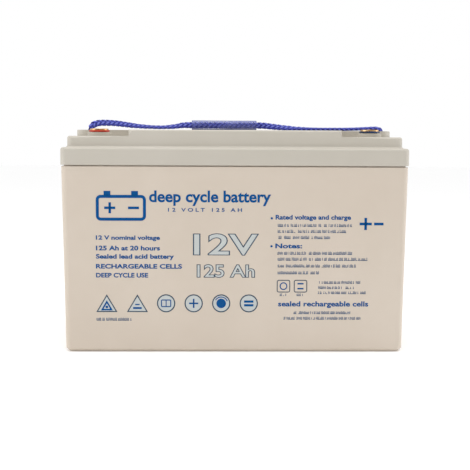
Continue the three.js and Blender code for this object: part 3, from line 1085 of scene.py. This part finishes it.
def patch(points):
    # a flat filled shape with the film's thickness
    bm = bmesh.new()
    low, high = (
        [bm.verts.new((x * mm, z * mm, level)) for x, z in points] for level in (0, wall["film"])
    )
    bm.faces.new(high)
    bm.faces.new(list(reversed(low)))
    for i in range(len(points)):
        n = (i + 1) % len(points)
        bm.faces.new((low[i], low[n], high[n], high[i]))
    return laid(bm)


def arc(x, z, radius, start=0, step=11.25, count=32):
    # points round a centre, a whole circle of them unless told otherwise, in degrees
    turns = [math.radians(start + step * i) for i in range(count)]
    return [(x + radius * math.cos(t), z + radius * math.sin(t)) for t in turns]


def roundBox(x, z, halfWide, halfHigh, corner):
    # the outline of a round-cornered box
    points = []
    for cx, cz, start in ((1, 1, 0), (-1, 1, 90), (-1, -1, 180), (1, -1, 270)):
        middle = (x + cx * (halfWide - corner), z + cz * (halfHigh - corner))
        points += arc(*middle, corner, start, 18, 6)
    return points


def bar(x0, z0, x1, z1, stroke):
    return band([(x0, z0), (x1, z1)], stroke, closed=False)


def minus(x, z, reach, stroke):
    return bar(x - reach, z, x + reach, z, stroke)


def plus(x, z, reach, stroke):
    return [minus(x, z, reach, stroke), bar(x, z - reach, x, z + reach, stroke)]


def smallTypeTree():
    # a row of upright strokes of uneven height, with gaps, that reads as small type
    tree, given = groupTree(
        "smallType", ("Length", "Pitch", "Height", "Stroke", "Film"), ("Seed",)
    )

    def thrown(kind, shift, values):
        dice = addNode(tree, "FunctionNodeRandomValue", values, data_type=kind)
        plug(dice, {"Seed": maths(tree, "ADD", given["Seed"], shift)})
        return dice.outputs

    def someOf(share, shift):
        return thrown("BOOLEAN", shift, {"Probability": share})[3]

    def vector(**parts):
        return addNode(tree, "ShaderNodeCombineXYZ", parts).outputs[0]

    def timesOf(label, times):
        return maths(tree, "MULTIPLY", given[label], times)

    line = addNode(tree, "GeometryNodeMeshLine", {
        "Count": maths(tree, "DIVIDE", given["Length"], given["Pitch"]),
        "Offset": vector(X=given["Pitch"]),
    })
    spots = addNode(
        tree, "GeometryNodeDeleteGeometry",
        {"Geometry": line.outputs["Mesh"], "Selection": someOf(0.2, 3)},
    )
    block = addNode(tree, "GeometryNodeMeshCube", {"Size": (1, 1, 1)})
    raised = addNode(
        tree, "GeometryNodeTransform",
        {"Geometry": block.outputs["Mesh"], "Translation": (0, 0.5, 0.5)},
    )
    both = addNode(tree, "GeometryNodeJoinGeometry")

    def addStrokes(wide, tall, low, kept, shift):
        # one set of blocks: its width, height and foot, and the share of the spots that get one
        spread = addNode(tree, "GeometryNodeInstanceOnPoints", {
            "Points": spots.outputs["Geometry"],
            "Instance": raised.outputs["Geometry"],
            "Scale": vector(X=timesOf("Stroke", wide), Y=tall, Z=given["Film"]),
            "Selection": someOf(kept, shift),
        })
        moved = addNode(tree, "GeometryNodeTranslateInstances", {
            "Instances": spread.outputs["Instances"],
            "Translation": vector(Y=timesOf("Height", low)),
        })
        plug(both, {"Geometry": moved.outputs["Instances"]})

    uneven = thrown("FLOAT", 11, {2: 0.72, 3: 1.0})[1]
    thin = timesOf("Height", 0.17)
    addStrokes(1.0, timesOf("Height", uneven), 0.0, 0.92, 21)
    addStrokes(2.6, thin, 0.0, 0.3, 31)
    addStrokes(2.6, thin, 0.56, 0.35, 41)
    return handOut(tree, both.outputs["Geometry"], given["Finish"])


smallType = smallTypeTree()


def typeRow(left, low, length, high, stroke, seed):
    piece = toObject("row", bpy.data.meshes.new("row"))
    mod = piece.modifiers.new("type", "NODES")
    mod.node_group = smallType
    setInputs(mod, smallType, {
        "Length": length * mm,
        "Pitch": stroke * 2.1 * mm,
        "Height": high * mm,
        "Stroke": stroke * mm,
        "Film": wall["film"],
        "Seed": seed,
        "Finish": finishes["finePrint"],
    })
    applied(piece)
    mesh = piece.data
    bpy.data.objects.remove(piece)
    mesh.transform(Matrix.Translation((left * mm, low * mm, 0)))
    mesh.materials.clear()
    return ontoWall(mesh)


# all in mm, x from the middle and heights from the floor
printPlan = {
    "words": [  # left, foot, width, height and boldness
        ("deep cycle battery", -81.3, 140.4, 115.2, 14.6, 0.026),
        ("1 2   V O L T   1 2 5   A H", -63.5, 134.9, 70, 3.6, 0.018),
        ("12 V nominal voltage", -131.8, 106.8, 60.6, 5.4, 0.032),
        ("125 Ah at 20 hours", -131.8, 97.8, 60.6, 4.6, 0.032),
        ("Sealed lead acid battery", -131.9, 88.6, 74, 5.8, 0.032),
        ("RECHARGEABLE CELLS", -132, 80.4, 81.7, 4.5, 0.032),
        ("DEEP CYCLE USE", -132, 71.8, 49.4, 4.5, 0.032),
        ("Rated voltage and charge", 38.4, 126.4, 71.7, 5.8, 0.032),
        ("Notes:", 38.4, 100.2, 25.6, 4.6, 0.032),
        ("sealed rechargeable cells", 41.6, 42.6, 86.6, 6.6, 0.028),
    ],
    "outlined": [  # left, foot, width, height, boldness and line
        ("12V", -39.9, 93.2, 62.8, 21.2, 0.022, 0.013),
        ("125 Ah", -36.4, 71.8, 55.7, 13, 0.022, 0.02),
    ],
    "rows": [  # left, foot, length, height, stroke
        (-131.6, 30.2, 33.6, 2.9, 0.55),
        (40.8, 120.9, 70.6, 3.0, 0.42),
        (40.8, 115.2, 65.8, 3.0, 0.42),
        (40.8, 109.3, 50.8, 3.0, 0.5),
        (40.9, 94.2, 71.8, 3.0, 0.42),
        (41, 88.5, 86, 3.0, 0.46),
        (41.1, 82, 75.6, 3.0, 0.42),
        (41.2, 75.4, 40.4, 3.0, 0.5),
        (80.1, 66.3, 41.6, 2.8, 0.42),
        (80.1, 61.2, 34.4, 2.8, 0.42),
        (80.1, 56.3, 46.6, 2.8, 0.42),
        (43.6, 54.3, 6.4, 2.6, 0.5),
        (59.6, 54.3, 6.4, 2.6, 0.5),
        (57, 36.8, 56, 2.8, 0.42),
        (47.5, 31.4, 74.2, 2.8, 0.42),
    ],
}

emblem = {
    "x": -107.9,
    "z": 138.4,
    "halfWide": 22.2,
    "halfHigh": 10.8,
    "corner": 3.2,
    "stroke": 2.9,
    "postOut": 13,
    "postFoot": 149.6,
    "postTop": 154.4,
    "postWide": 6.4,
    "plusX": -118.4,
    "minusX": -96,
    "reach": 5.2,
    "signStroke": 2.4,
}


def makeEmblem(e):
    # a plain picture of a battery: a round-cornered box with two posts, a plus and a minus
    box = roundBox(e["x"], e["z"], e["halfWide"], e["halfHigh"], e["corner"])
    shapes = [band(box, e["stroke"])]
    for side in (-1, 1):
        x = e["x"] + side * e["postOut"]
        shapes.append(bar(x, e["postFoot"], x, e["postTop"], e["postWide"]))
    shapes += plus(e["plusX"], e["z"], e["reach"], e["signStroke"])
    return shapes + [minus(e["minusX"], e["z"], e["reach"], e["signStroke"])]


signs = {
    "triangles": [[(x - 9.2, 39), (x + 9.2, 39), (x, 54.6)] for x in (-122, -92.9)],
    "rounds": [(x, 47) for x in (-65.5, -39.2, -12.9, 13.5)],
    "boxes": [(x, 63.8) for x in (46.6, 62.9)],
    "bullets": [(34.8, z) for z in (128.9, 102.2)],
    "polesAt": 123.8,  # height of the plus and minus pair
}


def signOutlines():
    shapes = [band(corners, 1.0) for corners in signs["triangles"]]
    shapes += [band(arc(x, z, 8.2), 1.1) for x, z in signs["rounds"]]
    return shapes + [band(roundBox(x, z, 6, 5.7, 1.6), 0.8) for x, z in signs["boxes"]]


def signGrounds():
    shapes = [patch(corners) for corners in signs["triangles"]]
    return shapes + [patch(arc(x, z, 8)) for x, z in signs["rounds"]]


def signFigures():
    # plain figures: a nested triangle, bars, a box, a plus, a disc and a split ring
    nested, barred = (corners[2][0] for corners in signs["triangles"])
    boxed, crossed, ringed, split = signs["rounds"]
    (ringX, ringZ), (barsX, barsZ) = signs["boxes"]
    shapes = [
        band([(nested - 4.4, 40.8), (nested + 4.4, 40.8), (nested, 48.4)], 1.5),
        patch(arc(nested, 43.4, 1.3)),
        minus(barred, 42.4, 4.1, 1.8),
        minus(barred, 45.8, 2.1, 1.2),
        band(roundBox(*boxed, 4.4, 3.2, 0.8), 1.0),
        bar(boxed[0], 44.2, boxed[0], 49.8, 0.9),
        patch(arc(*ringed, 4.6)),
        band(arc(*ringed, 6.2, 20, 10, 14), 0.9, closed=False),
        band(arc(ringX, ringZ, 3.2), 1.0),
        minus(136.7, signs["polesAt"], 4.5, 2.5),
    ]
    shapes += [minus(split[0], split[1] + rise, 4.5, 2.2) for rise in (1.8, -1.8)]
    shapes += [minus(barsX, barsZ + rise, 2.9, 1.4) for rise in (2.4, -2.4)]
    shapes += [patch(arc(x, z, 1.1)) for x, z in signs["bullets"]]
    return shapes + plus(*crossed, 4.4, 1.5) + plus(124.2, signs["polesAt"], 5.8, 2.5)


outlined = [letters(*row) for row in printPlan["outlined"]]
filled = [letters(*row[:-1]) for row in printPlan["outlined"]]
boldShapes = makeEmblem(emblem) + signFigures() + [letters(*row) for row in printPlan["words"]]
fineRows = [typeRow(*row, seed) for seed, row in enumerate(printPlan["rows"])]
for name, meshes, key, sunk in (
    ("frontPrint", boldShapes, "print", 0),
    ("frontSmallPrint", fineRows, "finePrint", 0),
    ("frontLinePrint", signOutlines() + outlined, "linePrint", 0),
    ("frontPalePrint", signGrounds() + filled, "palePrint", 0.00004),  # under the lines
):
    film = gather(name, meshes)
    film.data.transform(Matrix.Translation((0, sunk, 0)))
    film.data.materials.append(finishes[key])
    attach(film, "battery")
print("print laid on the front wall")


# what the lid hides keeps its CAD shape and gets its own finish
hiddenFinishes = {
    "positivePaste": ("positive_plates",),
    "negativePaste": ("negative_plates",),
    "mat": ("glass_mat",),
    "rubber": ("vent_valve", "positive_seal", "negative_seal"),
    "lead": ("cell_link", "positive_riser", "negative_riser"),
}
for key, starts in hiddenFinishes.items():
    for name, node in cadNodes.items():
        if name.startswith(starts):
            node.data.materials.clear()
            node.data.materials.append(finishes[key])
print("cells finished")


studio = {
    "floor": ink(250, 250, 250),
    "glow": 0.1,  # of the floor, as a light table
    "floorHalf": 6,
    "floorDrop": 0.0004,
    # how bright the surroundings are from the front (-Y) round to the sides and the back
    "round": [(0, 0.12), (0.06, 0.36), (0.25, 0.6), (0.5, 1.0), (0.7, 0.8), (1, 0.64)],
    "overhead": 1.35,  # times that, straight up
    "lampAim": (0, 0, 0.12),
    "lamps": [
        ("softTop", (0, -0.4, 1.4), 1.0, 6.9),
        ("softLeft", (-1.5, -0.5, 0.6), 0.9, 4.2),
        ("softRight", (1.6, 0.1, 0.5), 0.9, 4),
    ],
}


def makeWorld(s):
    # a light tent: open and dim where the camera stands, bright round the sides and overhead
    world = bpy.data.worlds.new("paleStudio")
    bpy.context.scene.world = world
    world.use_nodes = True
    tree = world.node_tree
    way = addNode(tree, "ShaderNodeSeparateXYZ", {0: placeIn(tree, "Generated")})
    tent = ramp(
        tree,
        ranged(tree, way.outputs["Y"], 0, 1, -1, 1),
        [(at, (level, level, level, 1)) for at, level in s["round"]],
    )
    lit = maths(
        tree, "MULTIPLY", tent, ranged(tree, way.outputs["Z"], 1, s["overhead"], 0, 1)
    )
    fromCamera = addNode(tree, "ShaderNodeLightPath").outputs["Is Camera Ray"]
    seen = addNode(tree, "ShaderNodeMix", {0: fromCamera, 2: lit, 3: 1})
    backdrop = tree.nodes["Background"]
    plug(backdrop, {"Color": (1, 1, 1, 1), "Strength": seen.outputs[0]})


def makeStudio(s):
    bm = bmesh.new()
    bmesh.ops.create_grid(bm, x_segments=8, y_segments=8, size=s["floorHalf"])
    floor = fromBmesh("studioFloor", bm)
    floor.location.z = -s["floorDrop"]
    material, _, shader = newMaterial("paleFloor")
    plug(shader, {
        "Base Color": s["floor"], "Roughness": 0.9,
        "Emission Color": (1, 1, 1, 1), "Emission Strength": s["glow"],
    })
    floor.data.materials.append(material)
    for name, place, size, power in s["lamps"]:
        data = bpy.data.lights.new(name, "AREA")
        data.shape = "DISK"
        data.size = size
        data.energy = power
        lamp = toObject(name, data)
        lamp.location = place
        aim = Vector(s["lampAim"]) - Vector(place)
        lamp.rotation_euler = aim.to_track_quat("-Z", "Y").to_euler()


makeWorld(studio)
makeStudio(studio)
bpy.context.scene.view_settings.view_transform = "Standard"
print("studio made")
